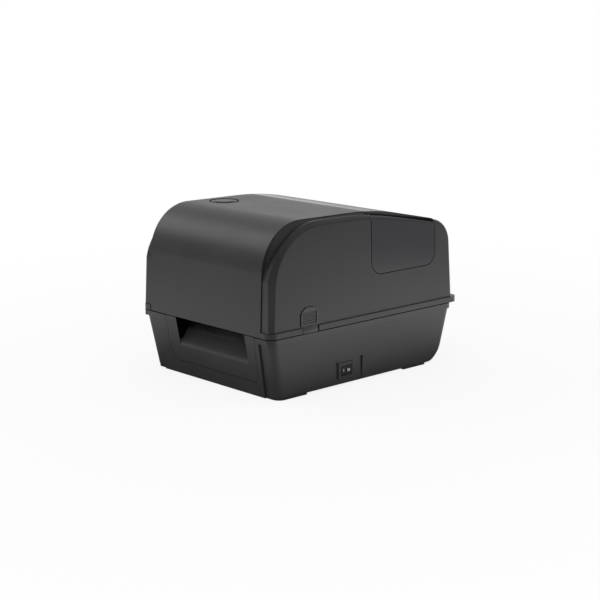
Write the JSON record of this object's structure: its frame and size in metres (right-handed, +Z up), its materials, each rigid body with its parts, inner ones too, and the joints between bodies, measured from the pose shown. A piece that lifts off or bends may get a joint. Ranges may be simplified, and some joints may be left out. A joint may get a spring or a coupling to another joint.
{
  "type": "desktop label printer",
  "caption": "Desktop thermal-transfer label printer with a hinged clamshell cover, smoked side window, front label slot, side latches and an opening print mechanism.",
  "frame": {"origin": "middle of the footprint, on the table", "axes": "+X to the printer's right, the front faces -Y, +Z up"},
  "size_m": [0.214, 0.2875, 0.184],
  "materials": {
    "case": "fine moulded texture",
    "lid": "fine moulded texture, satin",
    "window": "glossy smoked",
    "trim": "satin",
    "rubber": "matt",
    "deck": "satin",
    "steel": "zinc plated",
    "gear": "natural acetal",
    "carriage": "satin",
    "lever": "green lever",
    "motor": "black",
    "sink": "anodised",
    "ceramic": "glazed ceramic",
    "board": "solder resist"
  },
  "bodies": {
    "base": {"base_housing": "case", "front_bezel": "case", "rubber_feet": "rubber", "inner_deck": "deck", "deck_screws": "steel", "left_side_frame": "steel", "right_side_frame": "steel", "platen_bush_left": "gear", "platen_bush_right": "gear", "idler_pin": "steel", "stepper_motor": "motor", "media_guide": "deck", "tear_bar": "steel", "carriage_pins": "steel", "holder_pin": "steel", "power_switch": "trim", "main_board": "board", "board_screws": "steel", "dc_inlet": "board", "usb_socket": "steel", "network_socket": "steel", "socket_panel": "steel", "sensor_rail": "steel", "hinge_pins": "steel"},
    "lid": {"lid_shell": "lid", "lid_panel": "lid", "lid_window": "window", "feed_ring": "trim", "latch_pins": "steel"},
    "feed_button": {"feed_button": "trim"},
    "latch_left": {"latch_left": "trim"},
    "latch_right": {"latch_right": "trim"},
    "power_rocker": {"power_rocker": "trim"},
    "platen": {"platen_shaft": "steel", "platen_sleeve": "rubber", "platen_gear": "gear"},
    "idler": {"idler_gear": "gear"},
    "motor_pinion": {"motor_pinion": "gear"},
    "carriage": {"printhead_carriage": "carriage", "printhead": "ceramic", "heat_sink": "sink", "head_springs": "steel", "ribbon_motor": "steel", "lever_pin": "steel"},
    "rewind": {"rewind_spindle": "gear", "rewind_gear": "gear"},
    "supply": {"supply_spindle": "gear"},
    "ribbon_pinion": {"ribbon_pinion": "gear"},
    "release_lever": {"release_lever": "lever"},
    "roll_holder_left": {"roll_holder_left": "deck"},
    "roll_holder_right": {"roll_holder_right": "deck"},
    "holder_pinion": {"holder_pinion": "gear"},
    "media_sensor": {"media_sensor": "board"}
  },
  "joints": [
    {"name": "lid_hinge", "type": "hinge", "parent": "base", "child": "lid", "pos_m": [0, 0.137, 0.0695], "axis": [-1, 0, 0], "range_deg": [0, 80]},
    {"name": "feed_press", "type": "slide", "parent": "lid", "child": "feed_button", "axis": [0, 0, -1], "range_m": [0, 0.0012], "stiffness_N_per_m": 300, "springref_m": -0.0005},
    {"name": "latch_left_press", "type": "hinge", "parent": "lid", "child": "latch_left", "pos_m": [-0.102, -0.088, 0.087], "axis": [0, -1, 0], "range_deg": [0, 4], "stiffness_Nm_per_rad": 0.2, "springref_deg": -2.86},
    {"name": "latch_right_press", "type": "hinge", "parent": "lid", "child": "latch_right", "pos_m": [0.102, -0.088, 0.087], "axis": [0, 1, 0], "range_deg": [0, 4], "stiffness_Nm_per_rad": 0.2, "springref_deg": -2.86},
    {"name": "rocker_tilt", "type": "hinge", "parent": "base", "child": "power_rocker", "pos_m": [0.099, -0.0305, 0.01625], "axis": [0, 0, 1], "range_deg": [0, 20]},
    {"name": "platen_spin", "type": "hinge", "parent": "base", "child": "platen", "pos_m": [0, -0.1115, 0.0535], "axis": [1, 0, 0], "continuous": true},
    {"name": "idler_spin", "type": "hinge", "parent": "base", "child": "idler", "pos_m": [-0.0575, -0.08678, 0.04035], "axis": [1, 0, 0], "continuous": true},
    {"name": "motor_spin", "type": "hinge", "parent": "base", "child": "motor_pinion", "pos_m": [-0.0575, -0.06944, 0.02681], "axis": [1, 0, 0], "continuous": true},
    {"name": "carriage_lift", "type": "hinge", "parent": "base", "child": "carriage", "pos_m": [0, -0.038, 0.096], "axis": [-1, 0, 0], "range_deg": [0, 30]},
    {"name": "rewind_spin", "type": "hinge", "parent": "carriage", "child": "rewind", "pos_m": [0, -0.096, 0.126], "axis": [1, 0, 0], "continuous": true},
    {"name": "ribbon_pinion_spin", "type": "hinge", "parent": "carriage", "child": "ribbon_pinion", "pos_m": [-0.048, -0.07796, 0.13257], "axis": [1, 0, 0], "continuous": true},
    {"name": "supply_spin", "type": "hinge", "parent": "carriage", "child": "supply", "pos_m": [0, -0.056, 0.128], "axis": [1, 0, 0], "continuous": true},
    {"name": "lever_swing", "type": "hinge", "parent": "carriage", "child": "release_lever", "pos_m": [0.07, -0.108, 0.08], "axis": [1, 0, 0], "range_deg": [0, 20]},
    {"name": "holder_left_slide", "type": "slide", "parent": "base", "child": "roll_holder_left", "axis": [1, 0, 0], "range_m": [0, 0.04]},
    {"name": "holder_right_slide", "type": "slide", "parent": "base", "child": "roll_holder_right", "axis": [-1, 0, 0], "range_m": [0, 0.04]},
    {"name": "holder_pinion_spin", "type": "hinge", "parent": "base", "child": "holder_pinion", "pos_m": [0.01, 0.05, 0.0332], "axis": [0, 0, 1], "range_deg": [0, 255]},
    {"name": "sensor_slide", "type": "slide", "parent": "base", "child": "media_sensor", "axis": [1, 0, 0], "range_m": [-0.04, 0.04]}
  ],
  "couplings": [
    {"joint": "idler_spin", "follows": "platen_spin", "ratio": -0.86667},
    {"joint": "motor_spin", "follows": "platen_spin", "ratio": 1.8571},
    {"joint": "ribbon_pinion_spin", "follows": "rewind_spin", "ratio": -3},
    {"joint": "holder_right_slide", "follows": "holder_left_slide", "ratio": 1},
    {"joint": "holder_pinion_spin", "follows": "holder_left_slide", "rad_per_m": 111.11}
  ]
}
